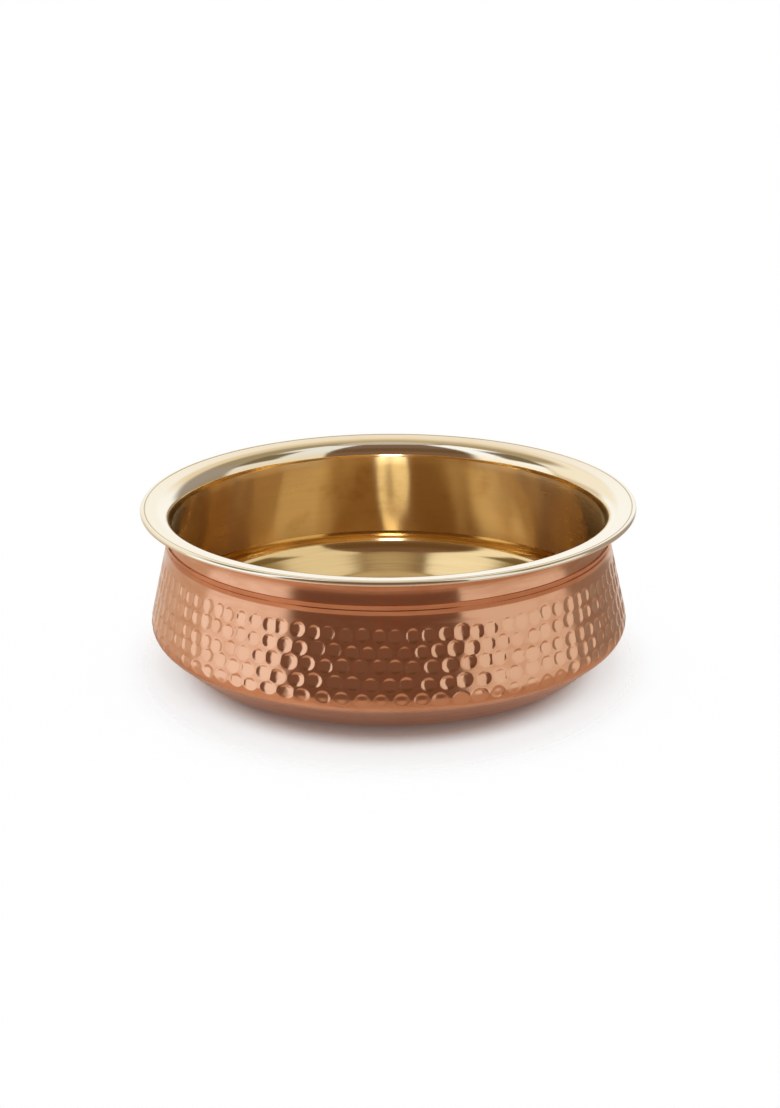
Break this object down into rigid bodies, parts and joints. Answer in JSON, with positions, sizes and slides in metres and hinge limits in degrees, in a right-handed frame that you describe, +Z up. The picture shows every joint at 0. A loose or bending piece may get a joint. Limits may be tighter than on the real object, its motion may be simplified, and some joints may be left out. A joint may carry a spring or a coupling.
{
  "type": "copper handi pot",
  "caption": "Wide, low double-walled serving pot: hammered copper shell with a raised bead, and a polished brass lining whose broad flared lip is hemmed over the shell.",
  "frame": {"origin": "middle of the flat base, on the surface that the pot stands on", "axes": "+Z up along the pot's axis of revolution; X and Y are alike"},
  "size_m": [0.19, 0.19, 0.0632],
  "materials": {
    "copper": "hammered and polished copper, satin on the plain bands",
    "brass": "polished brass with fine spinning lines",
    "solder": "dull soft solder, hidden in the hem"
  },
  "bodies": {
    "root": {"copper_shell": "copper", "brass_liner": "brass", "rim_seal": "solder"}
  },
  "joints": []
}
